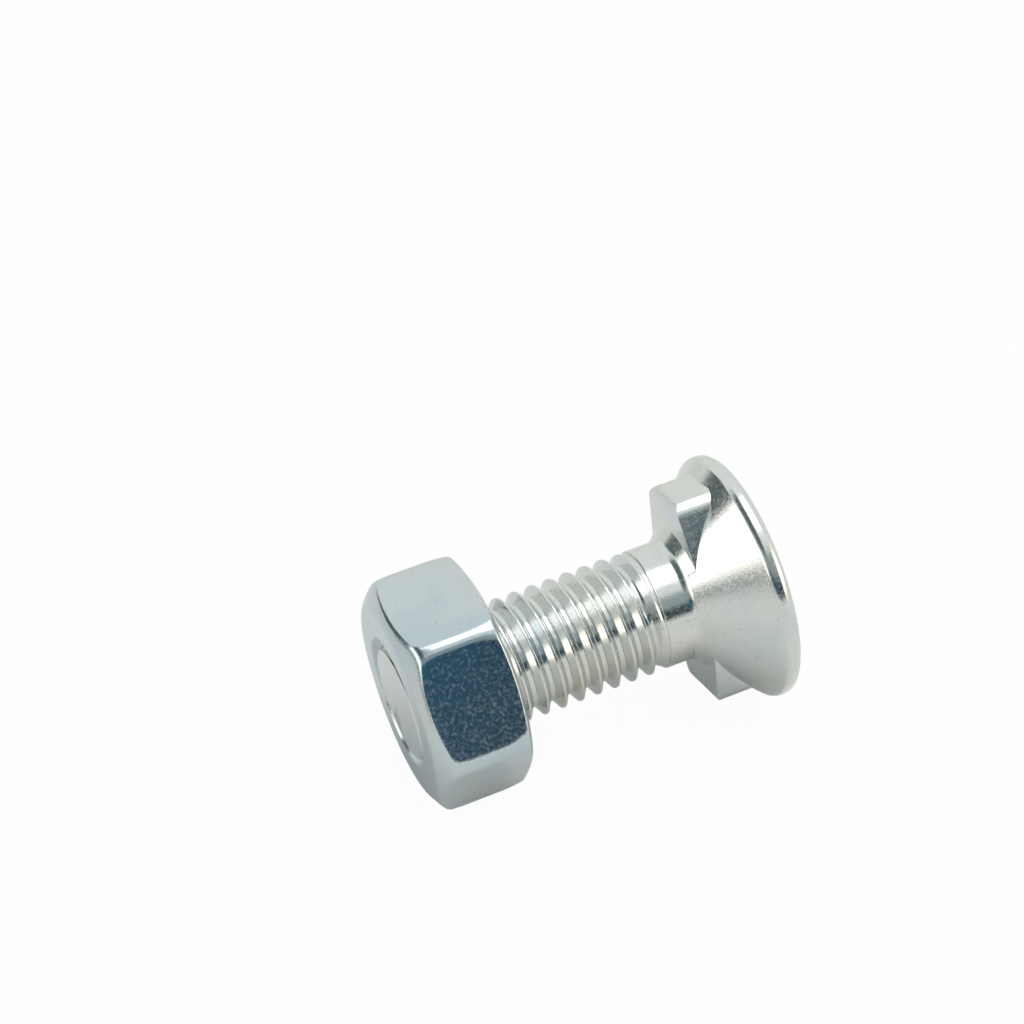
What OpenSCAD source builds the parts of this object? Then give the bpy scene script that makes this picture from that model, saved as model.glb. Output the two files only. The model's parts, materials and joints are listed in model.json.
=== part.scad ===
// Plow bolt with its hex nut, lying on the floor as it comes to rest.
// Each piece is drawn upright about Z, from the bolt's threaded end up to the head's face,
// and is then laid down with the head towards +X and one flat of the nut underneath.

/* [Shank] */
// Overall length of the bolt, head included
bolt_len = 30; // [26:0.5:60]
// Diameter over the thread's crests
crest_d = 9.9; // [8:0.1:11]
// Diameter of the plain neck under the head
neck_d = 9.8; // [8:0.1:11]
// Thread pitch, which is one turn of the nut
pitch = 1.5; // [1:0.25:2]
// Length of the plain neck between the thread and the head's fillet
neck_len = 2; // [1:0.1:8]
// Angle between the two flanks of a thread groove
flank_angle = 60; // [50:1:65]
// Turns over which the thread fades out into the neck
runout_turns = 0.75; // [0.25:0.25:1]
// Turn of the thread's start from the flat that the nut lies on
thread_turn = 82; // [0:1:360]
// Height of the 45 degree bevel on the bolt's end
end_bevel = 1; // [0.2:0.1:1.5]

/* [Head] */
// Diameter of the head over its rim
head_d = 20.2; // [17:0.1:24]
// Full angle of the countersunk cone
cone_angle = 90; // [80:1:100]
// Height of the rim, from the cone's edge to the head's face
rim_h = 1.25; // [1.1:0.05:2.5]
// Radius of the rounding from the cone to the rim
cone_round = 0.8; // [0.2:0.1:1]
// Radius of the rounding from the rim to the head's face
rim_round = 0.7; // [0.2:0.1:0.7]
// Radius of the fillet between neck and cone
neck_fillet = 1; // [0.3:0.1:2]

/* [Nibs] */
// Number of nibs round the cone
nib_count = 2; // [1:1:4]
// Distance from the head's rim in to a nib's outer face
nib_inset = 1.1; // [1:0.05:2.5]
// Width of a nib at its outer face, before its edges are rounded
nib_width = 5.3; // [4:0.1:6.5]
// Slope of each nib side, widening towards the axis
nib_draft = 19; // [5:1:20]
// Distance from the cone's foot up to a nib's end face
nib_lift = 0.95; // [0.5:0.05:1.8]
// Radius of the edges between a nib's outer face and its sides
nib_corner = 1.6; // [0.4:0.1:2]
// Radius of the edge between a nib's outer face and its end face
nib_round = 1; // [0.4:0.1:1.2]
// Radius of the edges between a nib's end face and its sides
nib_side_round = 0.2; // [0.1:0.1:1]
// Turn of the nibs from the flat that the nut lies on
nib_turn = -16; // [-90:1:90]

/* [Nut] */
// Width of the nut across its flats
nut_af = 17; // [15:0.5:19]
// Height of the nut
nut_h = 8; // [5:0.2:12]
// Radius of the nut's softened corners
nut_corner = 1.4; // [0.1:0.1:1.8]
// Diameter of the flat ring inside each chamfered end of the nut
nut_face_d = 15.4; // [13:0.1:16]
// Slope of the chamfers on the nut's outer end
nut_chamfer = 30; // [15:1:40]
// Slope of the chamfers on the nut's end towards the head
seat_chamfer = 18; // [10:1:40]
// Height of the bevel at each end of the nut's hole
hole_bevel = 0.5; // [0.1:0.1:1]

/* [Fit] */
// Radial play between the thread's crests and the nut's hole
thread_play = 0.1; // [0.05:0.01:0.2]
// Distance from the bolt's end to the nut's outer face
nut_start = 0; // [0:0.5:8]

/* [Hidden] */
$fn = 96;

// Steps of a drawn arc, and of one turn of the thread
arc_steps = 8;
turn_steps = 24;

// Radii
crest_r = crest_d / 2;
neck_r = neck_d / 2;
head_r = head_d / 2;
hole_r = crest_r + thread_play;
nut_face_r = nut_face_d / 2;
nut_flat_r = nut_af / 2;

// Thread groove: a sharp triangle is an eighth of the pitch flat at the crest and a quarter at the root
flank_slope = tan(flank_angle / 2);
root_half = pitch / 8;
crest_half = pitch / 16;
groove_depth = (pitch / 2 - root_half - crest_half) / flank_slope;
root_r = crest_r - groove_depth;
// The cutting groove reaches past the crests, but stops short of its own next turn
groove_out_r = crest_r + crest_half / flank_slope / 2;
fade_r = (crest_r + groove_out_r) / 2;

// Head heights, from the bolt's end
half_cone = cone_angle / 2;
rim_z = bolt_len - rim_h;
cone_foot_z = rim_z - (head_r - neck_r) / tan(half_cone);
// Lower edge of the rim's straight wall, and upper edge of the plain neck
wall_z = rim_z + cone_round * tan(half_cone / 2);
neck_z = cone_foot_z - neck_fillet * tan(half_cone / 2);
thread_top = neck_z - neck_len;
// The blank tapers from the crests to the neck over the thread's run-out
full_thread_z = thread_top - runout_turns * pitch;
nib_z = cone_foot_z + nib_lift;
// Distances from the bolt's axis to a nib's outer face and to the plane of its side
nib_reach = head_r - nib_inset;
nib_side = nib_reach * sin(nib_draft) + nib_width / 2 * cos(nib_draft);

// Lying pose: the nut's lower flat and the head's rim both touch the floor
nut_edge_z = nut_start + (nut_flat_r - nut_face_r) * tan(nut_chamfer);
tilt = atan((head_r - nut_flat_r) / (wall_z - nut_edge_z));
rest_z = nut_flat_r * cos(tilt) - nut_edge_z * sin(tilt);
low_x = min(0, nut_start) * cos(tilt) - nut_face_r * sin(tilt);
high_x = bolt_len * cos(tilt) + (head_r - rim_round) * sin(tilt);
rest_x = -(low_x + high_x) / 2;

// Points of an arc about a centre, from one angle to another
function arc(centre, r, from, to) =
    [for (k = [0:arc_steps])
        let (a = from + (to - from) * k / arc_steps)
        centre + r * [cos(a), sin(a)]];

// Groove depth at a step along the helix, fading out over the last turns
function groove_r(k, last) =
    let (left = (last - k) / turn_steps)
    root_r + (fade_r - root_r) * max(0, 1 - left / runout_turns);

// Four corners of the groove's section at a step along the helix
function groove_section(k, last) =
    let (
        turn = 360 * k / turn_steps,
        z = pitch * (k / turn_steps - 1),
        in_r = groove_r(k, last),
        out_half = root_half + (groove_out_r - in_r) * flank_slope
    )
    [for (corner = [[in_r, -root_half], [groove_out_r, -out_half],
            [groove_out_r, out_half], [in_r, root_half]])
        [corner[0] * cos(turn), corner[0] * sin(turn), z + corner[1]]];

// Right-hand helical groove that leaves the thread standing
module thread_groove() {
    last = round((thread_top / pitch + 1) * turn_steps);
    points = [for (k = [0:last]) each groove_section(k, last)];
    sides = [for (k = [0:last - 1], j = [0:3])
        let (a = 4 * k + j, b = 4 * k + (j + 1) % 4)
        each [[a, b, b + 4], [a, b + 4, a + 4]]];
    ends = [[3, 2, 1, 0], [for (j = [0:3]) 4 * last + j]];
    polyhedron(points = points, faces = concat(sides, ends));
}

// Half section of the bolt's blank, turned about Z
module blank_section() {
    fillet_centre = [neck_r + neck_fillet, neck_z];
    cone_centre = [head_r - cone_round, wall_z];
    rim_centre = [head_r - rim_round, bolt_len - rim_round];
    polygon(concat(
        [[0, 0], [crest_r - end_bevel, 0], [crest_r, end_bevel], [crest_r, full_thread_z],
            [neck_r, thread_top]],
        arc(fillet_centre, neck_fillet, 180, 180 - half_cone),
        arc(cone_centre, cone_round, -half_cone, 0),
        arc(rim_centre, rim_round, 0, 90),
        [[0, bolt_len]]
    ));
}

// Nib cross-section: a wedge that widens towards the axis, with round outer corners
module nib_outline() {
    side_turn = 90 - nib_draft;
    corner_x = nib_reach - nib_corner;
    corner_y = (nib_side - nib_corner - corner_x * sin(nib_draft)) / cos(nib_draft);
    edge = arc([corner_x, corner_y], nib_corner, 0, side_turn);
    root = nib_side / cos(nib_draft);
    polygon(concat(
        [[0, -root]],
        [for (k = [arc_steps:-1:0]) [edge[k][0], -edge[k][1]]],
        edge,
        [[0, root]]
    ));
}

// Block that ends a nib at its end face, rounded by r into a face at the given reach towards +Y
module nib_end_block(reach, r) {
    edge = arc([reach - r, nib_z + r], r, -90, 0);
    rotate([90, 0, 90])
        translate([0, 0, -head_r])
            linear_extrude(head_d)
                polygon(concat([[-head_r, nib_z]], edge, [[reach, rim_z], [-head_r, rim_z]]));
}

// One nib towards +X, from its end face into the cone
module nib() {
    intersection() {
        translate([0, 0, nib_z])
            linear_extrude(rim_z - nib_z)
                nib_outline();
        rotate(-90)
            nib_end_block(nib_reach, nib_round);
        rotate(-nib_draft)
            nib_end_block(nib_side, nib_side_round);
        rotate(180 + nib_draft)
            nib_end_block(nib_side, nib_side_round);
    }
}

// Hexagon with softened corners, one flat towards +X
module nut_outline() {
    corner_reach = nut_flat_r / cos(30) - nut_corner / cos(30);
    polygon([for (k = [0:5])
        let (a = 30 + 60 * k)
        each arc(corner_reach * [cos(a), sin(a)], nut_corner, a - 30, a + 30)]);
}

// Half section that chamfers both ends of the nut and leaves its hole
module nut_section() {
    wide_r = nut_flat_r / cos(30);
    drop = (wide_r - nut_face_r) * tan(nut_chamfer);
    seat_drop = (wide_r - nut_face_r) * tan(seat_chamfer);
    bevel_r = hole_r + hole_bevel;
    polygon([[hole_r, hole_bevel], [bevel_r, 0], [nut_face_r, 0], [wide_r, drop],
        [wide_r, nut_h - seat_drop], [nut_face_r, nut_h], [bevel_r, nut_h], [hole_r, nut_h - hole_bevel]]);
}

// Lays a piece down on the nut's lower flat and the head's rim
module at_rest() {
    translate([rest_x, 0, rest_z])
        rotate([0, 90 - tilt, 0])
            children();
}

module plow_bolt() {
    color("lightsteelblue")
        at_rest()
            union() {
                difference() {
                    rotate_extrude()
                        blank_section();
                    rotate(thread_turn)
                        thread_groove();
                }
                for (k = [0:nib_count - 1])
                    rotate(nib_turn + 360 * k / nib_count)
                        nib();
            }
}

module hex_nut() {
    color("silver")
        at_rest()
            translate([0, 0, nut_start])
                intersection() {
                    linear_extrude(nut_h)
                        nut_outline();
                    rotate_extrude()
                        nut_section();
                }
}

plow_bolt();
hex_nut();
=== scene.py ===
"""Zinc-plated plow bolt with its hex nut, lying on a white studio floor."""
import json
import logging
import math
from collections.abc import Callable
from dataclasses import dataclass, field
from enum import Enum
from typing import Any

import bpy
from mathutils import Matrix, Vector


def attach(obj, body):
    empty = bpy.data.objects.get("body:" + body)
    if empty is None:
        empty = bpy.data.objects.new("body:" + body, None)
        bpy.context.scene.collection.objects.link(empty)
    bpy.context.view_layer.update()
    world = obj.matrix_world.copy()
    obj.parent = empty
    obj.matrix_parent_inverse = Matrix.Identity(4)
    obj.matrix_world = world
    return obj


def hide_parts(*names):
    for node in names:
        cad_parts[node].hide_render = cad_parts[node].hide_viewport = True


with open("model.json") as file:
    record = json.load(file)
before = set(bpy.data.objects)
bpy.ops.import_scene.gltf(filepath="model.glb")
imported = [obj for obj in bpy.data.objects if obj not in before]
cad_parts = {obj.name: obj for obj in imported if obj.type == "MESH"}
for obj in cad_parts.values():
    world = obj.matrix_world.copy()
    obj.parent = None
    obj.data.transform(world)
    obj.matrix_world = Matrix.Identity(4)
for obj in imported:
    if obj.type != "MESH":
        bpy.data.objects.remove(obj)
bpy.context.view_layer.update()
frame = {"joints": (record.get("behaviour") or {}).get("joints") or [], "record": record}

MM = 0.001
FULL_TURN = 2 * math.pi
HEX_SIDES = 6
HEX_HALF = math.pi / HEX_SIDES
ARC_STEPS = 8
UP = (0, 0, 1)
LOG = logging.getLogger("plow_bolt")
Point = tuple[float, float]
Place = tuple[float, float, float]
Colour = tuple[float, float, float, float]
EdgeTest = Callable[[Vector, Vector], bool]


class Cut(Enum):
    """Ways in which one solid works on another."""

    JOIN = "UNION"
    REMOVE = "DIFFERENCE"
    TRIM = "INTERSECT"


class End(Enum):
    """Ends of the nut, with the way that leads into it."""

    OUTER = 1
    SEAT = -1


class Axis(Enum):
    """Axes of the surround, by their node sockets."""

    X = "X"
    Y = "Y"
    Z = "Z"


def arc(centre: Point, radius: float, start: float, end: float) -> list[Point]:
    """Gives the points of an arc in a half section.

    Args:
        centre: Radius and height of the arc's centre.
        radius: Radius of the arc.
        start: Angle of its first point, in degrees.
        end: Angle of its last point, in degrees.

    Returns:
        The points from start to end.
    """
    turns = [math.radians(start + (end - start) * k / ARC_STEPS) for k in range(ARC_STEPS + 1)]
    return [(centre[0] + radius * math.cos(a), centre[1] + radius * math.sin(a)) for a in turns]


def line(first: Point, last: Point, steps: int) -> list[Point]:
    """Gives evenly spaced points on a straight line, without its first.

    Args:
        first: Point where the line starts.
        last: Point where it ends.
        steps: Pieces of the line.

    Returns:
        The points from the second to the last.
    """
    shares = [k / steps for k in range(1, steps + 1)]
    run, rise = last[0] - first[0], last[1] - first[1]
    return [(first[0] + run * t, first[1] + rise * t) for t in shares]


class Bench:
    """Modelling steps that the pieces share, in millimetres about the bolt's axis.

    Attributes:
        MERGE: Distance below which two vertices become one.
        ROUND_STEPS: Pieces of a rounded edge.
        TURN_STEPS: Steps of a full turn.
    """

    MERGE = 1e-3
    ROUND_STEPS = 8
    TURN_STEPS = 160

    @staticmethod
    def edit() -> None:
        """Enters edit mode with everything selected."""
        bpy.ops.object.mode_set(mode="EDIT")
        bpy.ops.mesh.select_all(action="SELECT")

    @staticmethod
    def close() -> None:
        """Merges doubles, turns all faces outwards and leaves edit mode."""
        bpy.ops.mesh.select_all(action="SELECT")
        bpy.ops.mesh.remove_doubles(threshold=Bench.MERGE)
        bpy.ops.mesh.normals_make_consistent(inside=False)
        bpy.ops.object.mode_set(mode="OBJECT")

    @staticmethod
    def section(name: str, points: list[Point]) -> bpy.types.Object:
        """Draws a half section from point to point by extrusion, and stays in edit mode.

        Args:
            name: Name of the new piece.
            points: Radius and height of each point.

        Returns:
            The piece, a chain of edges.
        """
        bpy.ops.object.select_all(action="DESELECT")
        bpy.ops.mesh.primitive_plane_add(size=1)
        piece = bpy.context.object
        piece.name = name
        Bench.edit()
        bpy.ops.mesh.merge(type="CENTER")
        bpy.ops.transform.translate(value=(points[0][0], 0, points[0][1]))
        for (r0, z0), (r1, z1) in zip(points, points[1:]):
            step = {"value": (r1 - r0, 0, z1 - z0)}
            bpy.ops.mesh.extrude_region_move(TRANSFORM_OT_translate=step)
        return piece

    @staticmethod
    def turned(name: str, points: list[Point], steps: int = TURN_STEPS) -> bpy.types.Object:
        """Turns a half section into a closed solid.

        Args:
            name: Name of the new piece.
            points: Radius and height of each point, from axis to axis.
            steps: Steps of the full turn.

        Returns:
            The solid.
        """
        piece = Bench.section(name, points)
        bpy.ops.mesh.select_all(action="SELECT")
        bpy.ops.mesh.spin(steps=steps, angle=FULL_TURN, center=(0, 0, 0), axis=UP)
        Bench.close()
        return piece

    @staticmethod
    def block(name: str, low: Place, high: Place) -> bpy.types.Object:
        """Makes a box between two corners.

        Args:
            name: Name of the new piece.
            low: Its lowest corner.
            high: Its highest corner.

        Returns:
            The box.
        """
        bpy.ops.object.select_all(action="DESELECT")
        bpy.ops.mesh.primitive_cube_add(size=2)
        piece = bpy.context.object
        piece.name = name
        for vertex in piece.data.vertices:
            vertex.co = [b if c > 0 else a for a, b, c in zip(low, high, vertex.co)]
        return piece

    @staticmethod
    def apply(piece: bpy.types.Object, kind: str, **values: Any) -> None:
        """Adds a modifier with the given values to a piece and applies it.

        Args:
            piece: The piece to change.
            kind: Type of the modifier.
            **values: Settings of the modifier.
        """
        modifier = piece.modifiers.new(kind.lower(), kind)
        for key, value in values.items():
            setattr(modifier, key, value)
        bpy.ops.object.select_all(action="DESELECT")
        bpy.context.view_layer.objects.active = piece
        piece.select_set(True)
        bpy.ops.object.modifier_apply(modifier=modifier.name)

    @staticmethod
    def combine(piece: bpy.types.Object, tool: bpy.types.Object, cut: Cut) -> None:
        """Joins, cuts or trims a piece by another, which is used up.

        Args:
            piece: The piece to change.
            tool: The solid that works on it.
            cut: What the solid does.
        """
        Bench.apply(piece, "BOOLEAN", operation=cut.value, solver="EXACT", object=tool)
        bpy.data.objects.remove(tool)

    @staticmethod
    def round_edges(piece: bpy.types.Object, chosen: EdgeTest, cut_back: float) -> None:
        """Rounds the edges whose two ends meet a test.

        Args:
            piece: The piece to change, which is the active one.
            chosen: Test of an edge's two ends.
            cut_back: Distance from the edge to where its rounding starts on each face.
        """
        bpy.ops.object.mode_set(mode="EDIT")
        bpy.ops.mesh.select_mode(type="EDGE")
        bpy.ops.mesh.select_all(action="DESELECT")
        bpy.ops.object.mode_set(mode="OBJECT")
        points = piece.data.vertices
        for edge in piece.data.edges:
            edge.select = bool(chosen(points[edge.vertices[0]].co, points[edge.vertices[1]].co))
        bpy.ops.object.mode_set(mode="EDIT")
        bpy.ops.mesh.bevel(offset=cut_back, segments=Bench.ROUND_STEPS, affect="EDGES",
                           clamp_overlap=True)
        bpy.ops.mesh.select_mode(type="VERT")
        Bench.close()

    @staticmethod
    def lay(piece: bpy.types.Object, smooth_angle: float) -> None:
        """Shades a finished piece and lays it where the frame has it.

        Args:
            piece: The piece, drawn upright from the bolt's end.
            smooth_angle: Bend in degrees above which an edge stays sharp.
        """
        bpy.ops.object.select_all(action="DESELECT")
        bpy.context.view_layer.objects.active = piece
        piece.select_set(True)
        Bench.edit()
        Bench.close()
        bpy.ops.object.shade_smooth_by_angle(angle=math.radians(smooth_angle))
        Bench.apply(piece, "WEIGHTED_NORMAL", mode="FACE_AREA", keep_sharp=True)
        axis = Vector(frame["joints"][0]["axis"]).normalized()
        mounts = {mount["name"]: mount for mount in frame["record"]["mounts"]}
        foot = Vector(mounts["head_face"]["pos_m"]) - axis * BoltSizes.length * MM
        side = Vector((0, 1, 0))
        turn = Matrix((side.cross(axis), side, axis)).transposed().to_4x4()
        piece.data.transform(Matrix.Translation(foot) @ turn @ Matrix.Scale(MM, 4))


@dataclass
class Thread:
    """Right-hand helical thread, cut so that a groove stands at its start angle.

    Attributes:
        pitch: Rise of one turn.
        crest_r: Radius of the crests.
        flank: Half angle of a groove.
        start: Angle at which a groove stands at the bolt's end.
        grow: Play added to every radius, for the nut's hole.
        steps: Steps of one turn.
        ease: Size of the softened edges of crest and root.
        ROOT_PARTS: Half width of the root, as a part of the pitch.
        CREST_PARTS: Half width of the crest, as a part of the pitch.
        SPARE_TURNS: Turns that are wound past each end before it is cut.
    """

    pitch: float = 1.5
    crest_r: float = 4.95
    flank: float = 30.0
    start: float = 82.0
    grow: float = 0.0
    steps: int = 72
    ease: float = 0.025

    ROOT_PARTS = 8
    CREST_PARTS = 16
    SPARE_TURNS = 2

    def profile(self) -> list[Point]:
        """Works out the section of one pitch.

        Returns:
            Radius and height of each point, from root to root.
        """
        middle, ease = self.pitch / 2, self.ease
        root_half, crest_half = self.pitch / self.ROOT_PARTS, self.pitch / self.CREST_PARTS
        depth = (middle - root_half - crest_half) / math.tan(math.radians(self.flank))
        crest, root = self.crest_r + self.grow, self.crest_r - depth + self.grow
        half = [(root, 0.0), (root, root_half - ease), (root + ease, root_half + ease / 2),
                (crest - ease, middle - crest_half - ease / 2), (crest, middle - crest_half + ease)]
        return half + [(r, self.pitch - z) for r, z in reversed(half)]

    def solid(self, name: str, low: float, high: float) -> bpy.types.Object:
        """Winds the thread between two heights.

        Args:
            name: Name of the new piece.
            low: Height of its lower end.
            high: Height of its upper end.

        Returns:
            A closed solid.
        """
        first = math.floor(low / self.pitch) - self.SPARE_TURNS
        turns = math.ceil(high / self.pitch) - first + self.SPARE_TURNS
        piece = Bench.section(name, [(r, z + first * self.pitch) for r, z in self.profile()])
        bpy.ops.object.mode_set(mode="OBJECT")
        Bench.apply(piece, "SCREW", angle=FULL_TURN, screw_offset=self.pitch, iterations=turns,
                    steps=self.steps, render_steps=self.steps, use_merge_vertices=True,
                    merge_threshold=Bench.MERGE)
        piece.data.transform(Matrix.Rotation(math.radians(self.start), 4, "Z"))
        Bench.edit()
        bpy.ops.mesh.remove_doubles(threshold=Bench.MERGE)
        bpy.ops.mesh.select_all(action="SELECT")
        bpy.ops.mesh.bisect(plane_co=(0, 0, low), plane_no=UP, clear_inner=True, use_fill=True)
        bpy.ops.mesh.select_all(action="SELECT")
        bpy.ops.mesh.bisect(plane_co=(0, 0, high), plane_no=UP, clear_outer=True, use_fill=True)
        Bench.close()
        return piece


@dataclass
class BoltSizes:
    """Sizes of the bolt in millimetres and degrees, heights counted from its threaded end.

    Attributes:
        length: Overall length, head included.
        crest_r: Radius of the thread's crests.
        neck_r: Radius of the plain neck.
        neck_len: Length of the plain neck.
        runout: Length over which the thread fades out.
        end_round: Radius of the rounding at the threaded end.
        end_lead: Slope from the axis at which that rounding runs out.
        end_steps: Steps of a full turn at the threaded end.
        head_r: Radius of the head over its rim.
        rim_h: Height of the rim.
        cone_round: Radius of the rounding from the cone to the rim.
        rim_round: Radius of the rounding from the rim to the head's face.
        neck_fillet: Radius of the fillet between neck and cone.
        half_cone: Slope of the cone from the axis.
        nib_count: Number of nibs round the cone.
        nib_inset: Distance from the rim in to a nib's outer face.
        nib_width: Width of a nib at its outer face.
        nib_draft: Slope of a nib's sides.
        nib_lift: Distance from the cone's foot up to a nib's end face.
        nib_corner: Radius of the edges between a nib's outer face and its sides.
        nib_round: Radius of the edge between a nib's outer face and its end face.
        nib_side_round: Radius of the edges between a nib's end face and its sides.
        nib_turn: Turn of the nibs about the axis.
        neck_lip: Bevel at the neck's start.
        shank_sink: Depth by which the faded thread lies under the neck.
        shank_overlap: Margin by which thread and trimming solid pass each other.
    """

    length: float = 30.0
    crest_r: float = 4.95
    neck_r: float = 4.9
    neck_len: float = 2.0
    runout: float = 1.125
    end_round: float = 0.6
    end_lead: float = 20.0
    end_steps: int = 120
    head_r: float = 10.1
    rim_h: float = 1.25
    cone_round: float = 0.8
    rim_round: float = 0.7
    neck_fillet: float = 1.0
    half_cone: float = 45.0
    nib_count: int = 2
    nib_inset: float = 1.1
    nib_width: float = 5.3
    nib_draft: float = 19.0
    nib_lift: float = 0.95
    nib_corner: float = 1.6
    nib_round: float = 1.0
    nib_side_round: float = 0.2
    nib_turn: float = -16.0
    neck_lip: float = 0.05
    shank_sink: float = 0.16
    shank_overlap: float = 0.4

    @property
    def rim_z(self) -> float:
        """Height of the cone's outer edge."""
        return self.length - self.rim_h

    @property
    def cone_foot_z(self) -> float:
        """Height at which the cone would meet the neck."""
        return self.rim_z - (self.head_r - self.neck_r) / math.tan(math.radians(self.half_cone))

    @property
    def bend(self) -> float:
        """Share of a rounding's radius that it takes along the axis."""
        return math.tan(math.radians(self.half_cone / 2))

    @property
    def neck_z(self) -> float:
        """Height of the neck's upper end."""
        return self.cone_foot_z - self.neck_fillet * self.bend

    @property
    def thread_top(self) -> float:
        """Height at which the thread has faded out."""
        return self.neck_z - self.neck_len


class Piece:
    """A modelled piece that stands in for one CAD node."""

    NODE = ""
    BODY = ""
    SLOT = "zinc_steel"

    def place(self, piece: bpy.types.Object, smooth_angle: float) -> bpy.types.Object:
        """Lays a piece down and puts it in place of its CAD node.

        Args:
            piece: The finished piece.
            smooth_angle: Bend in degrees above which an edge stays sharp.

        Returns:
            The piece.
        """
        Bench.lay(piece, smooth_angle)
        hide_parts(self.NODE)
        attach(piece, self.BODY)
        LOG.info("placed %s for %s: %d faces", piece.name, self.NODE, len(piece.data.polygons))
        return piece

    @staticmethod
    def dress(piece: bpy.types.Object, material: bpy.types.Material) -> None:
        """Gives a piece its finish.

        Args:
            piece: The piece.
            material: Its finish.
        """
        piece.data.materials.clear()
        piece.data.materials.append(material)
        LOG.info("dressed %s in %s", piece.name, material.name)


@dataclass
class Bolt(Piece):
    """The bolt: thread, neck, countersunk head and nibs."""

    size: BoltSizes = field(default_factory=BoltSizes)
    smooth_angle: float = 40.0

    NODE = "plow_bolt"
    BODY = "bolt"

    def build(self) -> bpy.types.Object:
        """Models the bolt and puts it in place of its CAD node.

        Returns:
            The bolt.
        """
        bolt = self._head()
        for k in range(self.size.nib_count):
            nib = self._nib(self.size.nib_turn + 360 * k / self.size.nib_count)
            Bench.combine(bolt, nib, Cut.JOIN)
        Bench.combine(bolt, self._shank(), Cut.JOIN)
        return self.place(bolt, self.smooth_angle)

    def _head(self) -> bpy.types.Object:
        """Turns the neck and the countersunk head.

        Returns:
            The head with its neck.
        """
        s = self.size
        wall_z = s.rim_z + s.cone_round * s.bend
        points = [(0.0, s.thread_top), (s.neck_r - s.neck_lip, s.thread_top),
                  (s.neck_r, s.thread_top + s.neck_lip)]
        points += arc((s.neck_r + s.neck_fillet, s.neck_z), s.neck_fillet, 180, 180 - s.half_cone)
        points += arc((s.head_r - s.cone_round, wall_z), s.cone_round, -s.half_cone, 0)
        points += arc((s.head_r - s.rim_round, s.length - s.rim_round), s.rim_round, 0, 90)
        return Bench.turned("bolt", points + [(0.0, s.length)])

    def _nib(self, turn: float) -> bpy.types.Object:
        """Shapes one nib, a wedge that widens inwards, with its outer edges rounded.

        Args:
            turn: Angle of the nib about the axis, in degrees.

        Returns:
            The nib, reaching into the cone.
        """
        s = self.size
        draft = math.radians(s.nib_draft)
        reach, inner = s.head_r - s.nib_inset, s.neck_r / 2
        low, high = s.cone_foot_z + s.nib_lift, s.rim_z
        nib = Bench.block("nib", (inner, -1, low), (reach, 1, high))
        for vertex in nib.data.vertices:
            vertex.co.y *= s.nib_width / 2 + (reach - vertex.co.x) * math.tan(draft)
        corner_cut = s.nib_corner * math.tan((math.pi / 2 - draft) / 2)
        Bench.round_edges(nib, lambda a, b: min(a.x, b.x) > inner
                          and abs(a.z - b.z) > s.nib_lift, corner_cut)
        Bench.round_edges(nib, lambda a, b: max(a.z, b.z) < low + Bench.MERGE and a.y * b.y > 0
                          and abs(a.x - b.x) > s.nib_corner, s.nib_side_round)
        end = Bench.block("nib_end", (0, -s.head_r, low), (reach, s.head_r, s.length))
        Bench.round_edges(end, lambda a, b: min(a.x, b.x) > inner
                          and max(a.z, b.z) < high, s.nib_round)
        Bench.combine(nib, end, Cut.TRIM)
        nib.data.transform(Matrix.Rotation(math.radians(turn), 4, "Z"))
        return nib

    def _shank(self) -> bpy.types.Object:
        """Winds the thread, fades it into the neck and rounds its end.

        Returns:
            The shank.
        """
        s = self.size
        low, high = -s.shank_overlap, s.thread_top + s.shank_overlap
        shank = Thread(crest_r=s.crest_r).solid("shank", low, high)
        faded_r = s.neck_r - s.shank_sink
        for vertex in shank.data.vertices:
            radius = math.hypot(vertex.co.x, vertex.co.y)
            if radius < Bench.MERGE:
                continue
            fade = min(1.0, max(0.0, (vertex.co.z - s.thread_top + s.runout) / s.runout))
            # A smooth step, level where the fade starts and ends
            wanted = radius + (faded_r - radius) * fade * fade * (3 - 2 * fade)
            vertex.co.x *= wanted / radius
            vertex.co.y *= wanted / radius
        Bench.combine(shank, self._end(), Cut.TRIM)
        return shank

    def _end(self) -> bpy.types.Object:
        """Turns the solid that trims the shank.

        Returns:
            The solid, round at the threaded end.
        """
        s = self.size
        wide, top = s.crest_r + s.shank_overlap, s.length
        points = [(0.0, 0.0)]
        points += arc((s.crest_r - s.end_round, s.end_round), s.end_round, -90, -s.end_lead)
        last_r, last_z = points[-1]
        points.append((wide, last_z + (wide - last_r) / math.tan(math.radians(s.end_lead))))
        return Bench.turned("shank_end", points + [(wide, top), (0.0, top)], s.end_steps)


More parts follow.
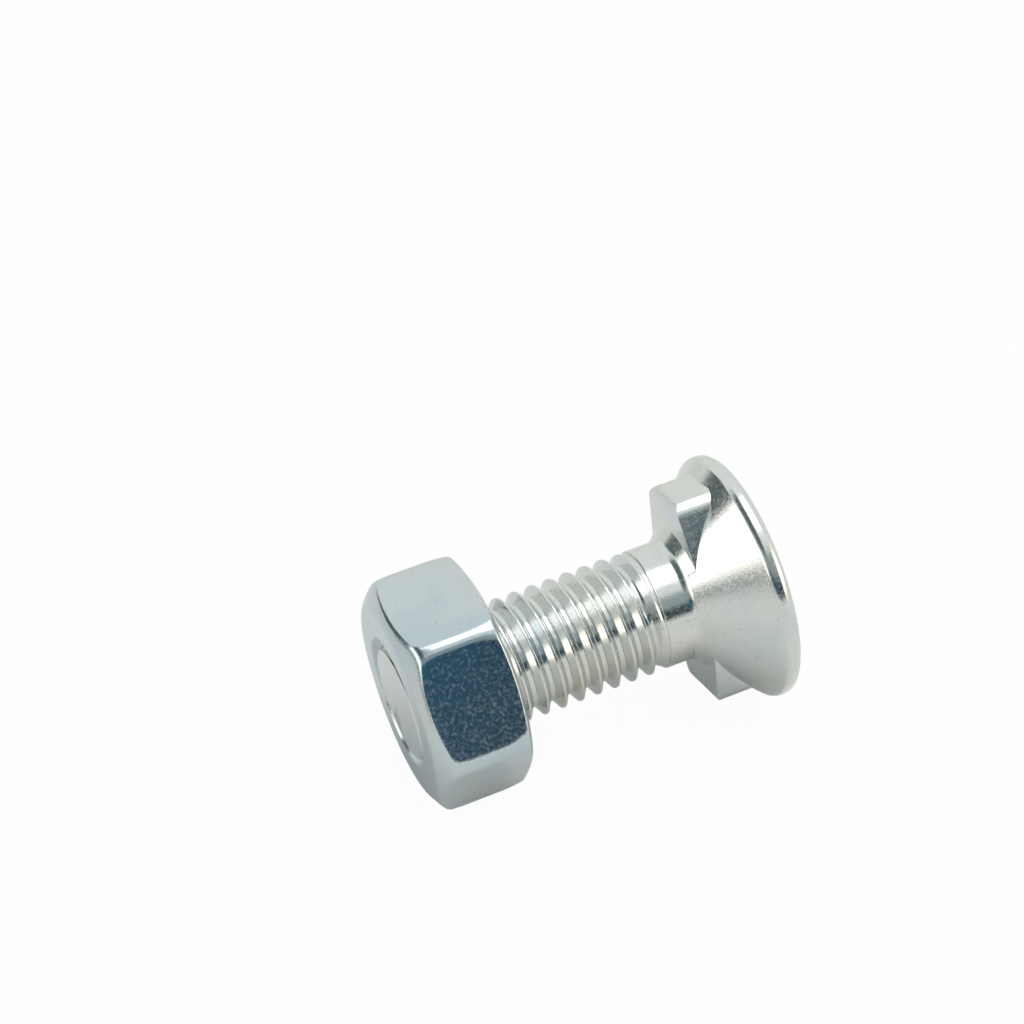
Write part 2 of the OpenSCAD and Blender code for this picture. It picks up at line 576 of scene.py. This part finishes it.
@dataclass
class Nut(Piece):
    """The hex nut with its chamfers and its threaded hole, in millimetres and degrees.

    Attributes:
        flats: Width across the flats.
        height: Height of the nut.
        corner: Radius of the corners at half height.
        corner_spread: Growth of that radius up to the ends.
        spread_reach: Distance from an end over which the corners grow rounder.
        face_r: Radius of the flat ring at each end.
        face_ease: Length of the rounding from that ring to the chamfer.
        outer_chamfer: Slope of the chamfer at the outer end.
        seat_chamfer: Slope of the chamfer towards the head.
        edge_blend: Width of the soft edges between chamfer and flats.
        hole_bevel: Bevel at each end of the hole.
        hole_r: Radius of the plain hole that its bevels start from.
        play: Radial play between the two threads.
        beyond: Length by which the cutting solids pass the ends.
        turn_steps: Steps of a full turn.
        slope_steps: Rows of faces on a chamfer.
        wall_steps: Rows of faces on the flats.
        crowding: Strength with which the steps crowd to the corners.
        smooth_angle: Bend above which an edge stays sharp.
    """

    flats: float = 17.0
    height: float = 8.0
    corner: float = 1.4
    corner_spread: float = 2.2
    spread_reach: float = 2.6
    face_r: float = 7.7
    face_ease: float = 0.4
    outer_chamfer: float = 30.0
    seat_chamfer: float = 18.0
    edge_blend: float = 0.6
    hole_bevel: float = 0.3
    hole_r: float = 5.05
    play: float = 0.06
    beyond: float = 1.0
    turn_steps: int = 216
    slope_steps: int = 20
    wall_steps: int = 14
    crowding: float = 0.6
    smooth_angle: float = 32.0

    NODE = "hex_nut"
    BODY = "nut"

    def build(self) -> bpy.types.Object:
        """Models the nut and puts it in place of its CAD node.

        Returns:
            The nut.
        """
        nut = self._blank()
        thread = Thread(grow=self.play).solid("nut_thread", -self.beyond, self.height + self.beyond)
        Bench.combine(nut, thread, Cut.REMOVE)
        for end in End:
            Bench.combine(nut, self._hole_bevel(end), Cut.REMOVE)
        return self.place(nut, self.smooth_angle)

    def _blank(self) -> bpy.types.Object:
        """Turns the chamfered blank and presses six flats with soft edges and corners into it.

        Returns:
            The nut without its hole.
        """
        nut = Bench.turned("nut", self._section(), self.turn_steps)
        for vertex in nut.data.vertices:
            radius = math.hypot(vertex.co.x, vertex.co.y)
            angle = math.atan2(vertex.co.y, vertex.co.x)
            angle += self.crowding * math.sin(HEX_SIDES * angle) / HEX_SIDES
            reach = self._flat_reach(angle, vertex.co.z)
            # A soft least of the two radii, a quarter of the blend lower where they are equal
            near = max(0.0, 1 - abs(radius - reach) / self.edge_blend)
            wanted = min(radius, reach) - near * near * self.edge_blend / 4
            vertex.co.x, vertex.co.y = wanted * math.cos(angle), wanted * math.sin(angle)
        return nut

    def _section(self) -> list[Point]:
        """Works out the blank's half section, with its wall outside the hexagon's corners.

        Returns:
            Radius and height of each point, from the outer end to the seat.
        """
        wall_r = self.flats / 2 / math.cos(HEX_HALF) + self.edge_blend
        foot_r, rise = self.face_r - self.face_ease, wall_r - self.face_r
        halves = []
        for slope in (self.outer_chamfer, self.seat_chamfer):
            ease_r = self.face_ease / math.tan(math.radians(slope / 2))
            half = [(0.0, 0.0)] + arc((foot_r, ease_r), ease_r, -90, slope - 90)
            top = (wall_r, rise * math.tan(math.radians(slope)))
            halves.append(half + line(half[-1], top, self.slope_steps))
        outer, seat = halves[0], [(r, self.height - z) for r, z in reversed(halves[1])]
        return outer + line(outer[-1], seat[0], self.wall_steps) + seat[1:]

    def _flat_reach(self, angle: float, height: float) -> float:
        """Gives the distance from the axis to the hexagon, whose corners grow rounder at the ends.

        Args:
            angle: Angle about the axis.
            height: Height above the outer end.

        Returns:
            The distance to a flat or to a round corner.
        """
        flat_r = self.flats / 2
        closeness = max(0.0, 1 - min(height, self.height - height) / self.spread_reach)
        corner = self.corner + self.corner_spread * closeness * closeness
        centre = (flat_r - corner) / math.cos(HEX_HALF)
        bend = abs((angle + HEX_HALF) % (2 * HEX_HALF) - HEX_HALF)
        if bend <= math.atan(centre * math.sin(HEX_HALF) / flat_r):
            return flat_r / math.cos(bend)
        off = HEX_HALF - bend
        return centre * math.cos(off) + math.sqrt(corner ** 2 - (centre * math.sin(off)) ** 2)

    def _hole_bevel(self, end: End) -> bpy.types.Object:
        """Turns the cone that bevels one end of the hole.

        Args:
            end: The end of the nut.

        Returns:
            The cone, standing out of that end.
        """
        face = 0.0 if end is End.OUTER else self.height
        wide, deep = self.hole_r + self.hole_bevel, 2 * self.hole_bevel
        out_z, in_z = face - end.value * self.beyond, face + end.value * deep
        points = [(0, out_z), (wide + self.beyond, out_z), (wide - deep, in_z), (0, in_z)]
        return Bench.turned("hole_bevel", points)


@dataclass(frozen=True)
class Plating:
    """Look of a zinc-plated surface.

    Attributes:
        name: Material name.
        base: Main colour of the plating.
        cool: Bluish tint that drifts over it.
        warm: Yellowish tint that drifts over it.
        stain: Colour of its small dull spots.
        roughness: Mean roughness.
        grain: Strength of the fine grain, as bump.
        grain_depth: Depth of the fine grain.
    """

    name: str
    base: Colour
    cool: Colour
    warm: Colour
    stain: Colour
    roughness: float
    grain: float
    grain_depth: float


BOLT_ZINC = Plating("bolt_zinc", base=(0.725, 0.735, 0.705, 1), cool=(0.67, 0.71, 0.715, 1),
                    warm=(0.735, 0.725, 0.67, 1), stain=(0.58, 0.60, 0.58, 1),
                    roughness=0.16, grain=0.5, grain_depth=0.010 * MM)
NUT_ZINC = Plating("nut_zinc", base=(0.605, 0.66, 0.67, 1), cool=(0.55, 0.625, 0.655, 1),
                   warm=(0.63, 0.655, 0.64, 1), stain=(0.50, 0.55, 0.56, 1),
                   roughness=0.13, grain=0.5, grain_depth=0.010 * MM)


class PlatingGroup:
    """Shader group with the drifting tint, dull spots, rough specks and grain of zinc plating.

    Scales are per metre, details are octaves, and a span of a noise starts and ends an effect.
    """

    NAME = "zinc_plating"
    TINT_SCALE = 150.0
    TINT_DETAIL = 2.0
    STAIN_SCALE = 2400.0
    STAIN_DETAIL = 4.0
    SPECK_SCALE = 4200.0
    SPECK_DETAIL = 3.0
    GRAIN_SCALE = 5200.0
    GRAIN_DETAIL = 2.0
    COOL = (0.50, 0.66)
    WARM = (0.48, 0.34)
    STAINED = (0.62, 0.74)
    SPECKS = (0.44, 0.72)
    SPECK_ROUGHNESS = 0.13

    def build(self) -> bpy.types.NodeTree:
        """Makes the node group.

        Returns:
            The group, with inputs for its colours and its roughness.
        """
        tree = bpy.data.node_groups.new(self.NAME, "ShaderNodeTree")
        for label in ("Base", "Cool", "Warm", "Stain"):
            tree.interface.new_socket(label, in_out="INPUT", socket_type="NodeSocketColor")
        tree.interface.new_socket("Roughness", in_out="INPUT", socket_type="NodeSocketFloat")
        tree.interface.new_socket("Color", in_out="OUTPUT", socket_type="NodeSocketColor")
        for label in ("Roughness", "Height"):
            tree.interface.new_socket(label, in_out="OUTPUT", socket_type="NodeSocketFloat")
        nodes, link = tree.nodes, tree.links.new
        source, sink = nodes.new("NodeGroupInput"), nodes.new("NodeGroupOutput")
        place = nodes.new("ShaderNodeTexCoord").outputs["Object"]
        tint = self._noise(tree, place, self.TINT_SCALE, self.TINT_DETAIL)
        stain = self._noise(tree, place, self.STAIN_SCALE, self.STAIN_DETAIL)
        colour = source.outputs["Base"]
        layers = ((tint, self.COOL, "Cool"), (tint, self.WARM, "Warm"),
                  (stain, self.STAINED, "Stain"))
        for value, span, label in layers:
            mask = self._ramp(tree, value, span, 1.0)
            colour = self._mix(tree, mask, colour, source.outputs[label])
        link(colour, sink.inputs["Color"])
        specks = self._noise(tree, place, self.SPECK_SCALE, self.SPECK_DETAIL)
        rough = nodes.new("ShaderNodeMath")
        link(source.outputs["Roughness"], rough.inputs[0])
        link(self._ramp(tree, specks, self.SPECKS, self.SPECK_ROUGHNESS), rough.inputs[1])
        link(rough.outputs[0], sink.inputs["Roughness"])
        grain = self._noise(tree, place, self.GRAIN_SCALE, self.GRAIN_DETAIL)
        link(grain, sink.inputs["Height"])
        return tree

    @staticmethod
    def _noise(tree: bpy.types.NodeTree, place: Any, scale: float, detail: float) -> Any:
        """Adds a noise.

        Args:
            tree: Node tree to add to.
            place: Socket of the coordinates.
            scale: Scale of the noise, per metre.
            detail: Octaves of the noise.

        Returns:
            The socket of its value.
        """
        noise = tree.nodes.new("ShaderNodeTexNoise")
        noise.inputs["Scale"].default_value = scale
        noise.inputs["Detail"].default_value = detail
        tree.links.new(place, noise.inputs["Vector"])
        return noise.outputs["Fac"]

    @staticmethod
    def _ramp(tree: bpy.types.NodeTree, value: Any, span: Point, top: float) -> Any:
        """Maps a span of a value to a rise from zero.

        Args:
            tree: Node tree to add to.
            value: Socket of the value.
            span: Values at which the rise starts and ends.
            top: Height of the rise.

        Returns:
            The socket of the result.
        """
        ramp = tree.nodes.new("ShaderNodeMapRange")
        ramp.inputs["From Min"].default_value, ramp.inputs["From Max"].default_value = span
        ramp.inputs["To Max"].default_value = top
        tree.links.new(value, ramp.inputs["Value"])
        return ramp.outputs["Result"]

    @staticmethod
    def _mix(tree: bpy.types.NodeTree, mask: Any, first: Any, second: Any) -> Any:
        """Mixes two colours by a mask.

        Args:
            tree: Node tree to add to.
            mask: Socket that drives the mix.
            first: Socket of the colour at zero.
            second: Socket of the colour at one.

        Returns:
            The socket of the mixed colour.
        """
        mix = tree.nodes.new("ShaderNodeMix")
        mix.data_type = "RGBA"
        tree.links.new(mask, mix.inputs["Factor"])
        tree.links.new(first, mix.inputs["A"])
        tree.links.new(second, mix.inputs["B"])
        return mix.outputs["Result"]


def plating_material(look: Plating, group: bpy.types.NodeTree) -> bpy.types.Material:
    """Makes a plated metal material.

    Args:
        look: Colours and roughness of the plating.
        group: The shared plating group.

    Returns:
        The material.
    """
    material = bpy.data.materials.new(look.name)
    material.use_nodes = True
    nodes, link = material.node_tree.nodes, material.node_tree.links.new
    shader = nodes["Principled BSDF"]
    shader.inputs["Metallic"].default_value = 1.0
    plating = nodes.new("ShaderNodeGroup")
    plating.node_tree = group
    values = {"Base": look.base, "Cool": look.cool, "Warm": look.warm, "Stain": look.stain,
              "Roughness": look.roughness}
    for label, value in values.items():
        plating.inputs[label].default_value = value
    bump = nodes.new("ShaderNodeBump")
    bump.inputs["Strength"].default_value = look.grain
    bump.inputs["Distance"].default_value = look.grain_depth
    link(plating.outputs["Color"], shader.inputs["Base Color"])
    link(plating.outputs["Roughness"], shader.inputs["Roughness"])
    link(plating.outputs["Height"], bump.inputs["Height"])
    link(bump.outputs["Normal"], shader.inputs["Normal"])
    return material


@dataclass(frozen=True)
class Stretch:
    """A soft-edged stretch of the surround.

    Attributes:
        colour: Its colour.
        edges: Axis of each edge, with the values at which the stretch starts and is full.
    """

    colour: Colour
    edges: tuple[tuple[Axis, float, float], ...]


STRETCHES = (
    # Low behind the part
    Stretch((0.83, 0.86, 0.83, 1), ((Axis.Y, 0.50, 0.75), (Axis.Z, 0.45, 0.28))),
    # Bright box on the left
    Stretch((2.05, 2.00, 1.90, 1),
            ((Axis.X, -0.70, -0.80), (Axis.Z, 0.17, 0.24), (Axis.Z, 0.52, 0.45),
             (Axis.Y, 0.52, 0.42))),
    # Dark gap beside the box
    Stretch((0.09, 0.13, 0.14, 1),
            ((Axis.X, -0.38, -0.50), (Axis.Y, 0.40, 0.52), (Axis.Z, 0.06, 0.14),
             (Axis.Z, 0.54, 0.44))),
    # Dim ceiling on the left
    Stretch((0.11, 0.15, 0.16, 1),
            ((Axis.X, 0.04, -0.10), (Axis.Y, 0.52, 0.38), (Axis.Z, 0.58, 0.70))),
    # Dark table edge under the box
    Stretch((0.35, 0.38, 0.38, 1),
            ((Axis.X, -0.72, -0.82), (Axis.Z, -0.03, 0.01), (Axis.Z, 0.17, 0.11))),
    # Dim room behind the camera, darkest low down and bluer on its left
    Stretch((0.32, 0.40, 0.42, 1),
            ((Axis.Y, -0.42, -0.62), (Axis.Z, 0.12, 0.22), (Axis.Z, 0.82, 0.74),
             (Axis.X, 0.52, 0.40))),
    Stretch((0.016, 0.022, 0.038, 1),
            ((Axis.Y, -0.55, -0.75), (Axis.Z, 0.12, 0.22), (Axis.Z, 0.54, 0.42),
             (Axis.X, 0.52, 0.40))),
    Stretch((0.016, 0.115, 0.200, 1),
            ((Axis.Y, -0.70, -0.84), (Axis.Z, 0.22, 0.30), (Axis.Z, 0.50, 0.42),
             (Axis.X, 0.212, 0.190))),
    # Warm box at the front on the right
    Stretch((3.40, 3.15, 2.70, 1),
            ((Axis.X, 0.46, 0.56), (Axis.Y, -0.26, -0.38), (Axis.Z, 0.16, 0.24),
             (Axis.Z, 0.60, 0.52))),
)


@dataclass
class Studio:
    """Floor, surround, lamp and camera, in millimetres.

    Attributes:
        floor_half: Half the side of the floor.
        floor_tone: Grey of the floor where the metal mirrors it.
        floor_roughness: Roughness of the floor.
        floor_white: Share of plain white that the camera sees on the floor.
        surround: Colour of the surround outside its stretches.
        box_place: Place of the soft box.
        box_aim: Point that the soft box is turned to.
        box_size: Side of the soft box.
        box_watts: Power of the soft box.
        eye: Place of the camera.
        ahead: Direction in which the camera looks.
        up: Direction that is upwards in the picture.
        lens: Focal length of the camera.
    """

    floor_half: float = 600.0
    floor_tone: float = 0.93
    floor_roughness: float = 0.9
    floor_white: float = 0.96
    surround: Colour = (0.86, 0.90, 0.90, 1)
    box_place: Place = (80.0, 10.0, 290.0)
    box_aim: Place = (0.0, 0.0, 8.0)
    box_size: float = 170.0
    box_watts: float = 0.14
    eye: Place = (-57.93, -153.3, 151.08)
    ahead: Place = (0.2595, 0.7419, -0.6183)
    up: Place = (0.286, 0.5525, 0.7829)
    lens: float = 96.764

    def build(self) -> None:
        """Sets up the whole studio."""
        self._floor()
        self._world()
        self._box()
        self._camera()
        bpy.context.scene.view_settings.view_transform = "Standard"

    def _floor(self) -> None:
        """Lays a pale floor, which the camera sees as white and the metal mirrors as it is."""
        bpy.ops.object.select_all(action="DESELECT")
        bpy.ops.mesh.primitive_plane_add(size=2 * self.floor_half * MM)
        floor = bpy.context.object
        floor.name = "studio_floor"
        material = bpy.data.materials.new("pale_floor")
        material.use_nodes = True
        nodes, link = material.node_tree.nodes, material.node_tree.links.new
        shader = nodes["Principled BSDF"]
        tone = self.floor_tone
        shader.inputs["Base Color"].default_value = (tone, tone, tone, 1)
        shader.inputs["Roughness"].default_value = self.floor_roughness
        path, white = nodes.new("ShaderNodeLightPath"), nodes.new("ShaderNodeEmission")
        mix = nodes.new("ShaderNodeMixShader")
        seen, share = nodes.new("ShaderNodeMath"), nodes.new("ShaderNodeMath")
        seen.operation, share.operation = "MAXIMUM", "MULTIPLY"
        share.inputs[1].default_value = self.floor_white
        link(path.outputs["Is Camera Ray"], seen.inputs[0])
        link(path.outputs["Is Transmission Ray"], seen.inputs[1])
        link(seen.outputs[0], share.inputs[0])
        link(share.outputs[0], mix.inputs[0])
        link(shader.outputs[0], mix.inputs[1])
        link(white.outputs[0], mix.inputs[2])
        link(mix.outputs[0], nodes["Material Output"].inputs["Surface"])
        floor.data.materials.append(material)

    def _world(self) -> None:
        """Gives a white surround with the stretches that the metal mirrors."""
        world = bpy.data.worlds.new("studio_world")
        world.use_nodes = True
        tree = world.node_tree
        way, parts = tree.nodes.new("ShaderNodeTexCoord"), tree.nodes.new("ShaderNodeSeparateXYZ")
        tree.links.new(way.outputs["Generated"], parts.inputs[0])
        tone = tree.nodes.new("ShaderNodeRGB")
        tone.outputs[0].default_value = self.surround
        colour = tone.outputs[0]
        for stretch in STRETCHES:
            mix = tree.nodes.new("ShaderNodeMix")
            mix.data_type = "RGBA"
            mix.inputs["B"].default_value = stretch.colour
            tree.links.new(self._mask(tree, parts, stretch), mix.inputs["Factor"])
            tree.links.new(colour, mix.inputs["A"])
            colour = mix.outputs["Result"]
        tree.links.new(colour, tree.nodes["Background"].inputs["Color"])
        bpy.context.scene.world = world

    @staticmethod
    def _mask(tree: bpy.types.NodeTree, parts: bpy.types.Node, stretch: Stretch) -> Any:
        """Masks one stretch of the surround.

        Args:
            tree: Node tree of the world.
            parts: Node with the direction's three parts.
            stretch: The stretch.

        Returns:
            The socket of the mask.
        """
        mask = None
        for axis, start, full in stretch.edges:
            ramp = tree.nodes.new("ShaderNodeMapRange")
            ramp.interpolation_type = "SMOOTHSTEP"
            ramp.inputs["From Min"].default_value = start
            ramp.inputs["From Max"].default_value = full
            tree.links.new(parts.outputs[axis.value], ramp.inputs["Value"])
            edge = ramp.outputs["Result"]
            if mask is not None:
                both = tree.nodes.new("ShaderNodeMath")
                both.operation = "MULTIPLY"
                tree.links.new(mask, both.inputs[0])
                tree.links.new(edge, both.inputs[1])
                edge = both.outputs[0]
            mask = edge
        return mask

    def _box(self) -> None:
        """Hangs the square soft box over the part."""
        lamp = bpy.data.lights.new("top_box", "AREA")
        lamp.size = self.box_size * MM
        lamp.energy = self.box_watts
        holder = bpy.data.objects.new("top_box", lamp)
        holder.location = Vector(self.box_place) * MM
        way = Vector(self.box_aim) - Vector(self.box_place)
        holder.rotation_euler = way.to_track_quat("-Z", "Y").to_euler()
        bpy.context.scene.collection.objects.link(holder)

    def _camera(self) -> None:
        """Places the camera at the photograph's view."""
        lens = bpy.data.cameras.new("camera")
        lens.lens = self.lens
        lens.clip_start = MM
        camera = bpy.data.objects.new("camera", lens)
        back, up = -Vector(self.ahead).normalized(), Vector(self.up).normalized()
        right = up.cross(back).normalized()
        turn = Matrix((right, back.cross(right), back)).transposed().to_4x4()
        camera.matrix_world = Matrix.Translation(Vector(self.eye) * MM) @ turn
        bpy.context.scene.collection.objects.link(camera)
        bpy.context.scene.camera = camera


def main() -> None:
    """Builds the studio, models the pieces and dresses them."""
    logging.basicConfig(level=logging.INFO)
    Studio().build()
    group = PlatingGroup().build()
    for model, look in ((Bolt(), BOLT_ZINC), (Nut(), NUT_ZINC)):
        model.dress(model.build(), plating_material(look, group))


if __name__ == "__main__":
    main()
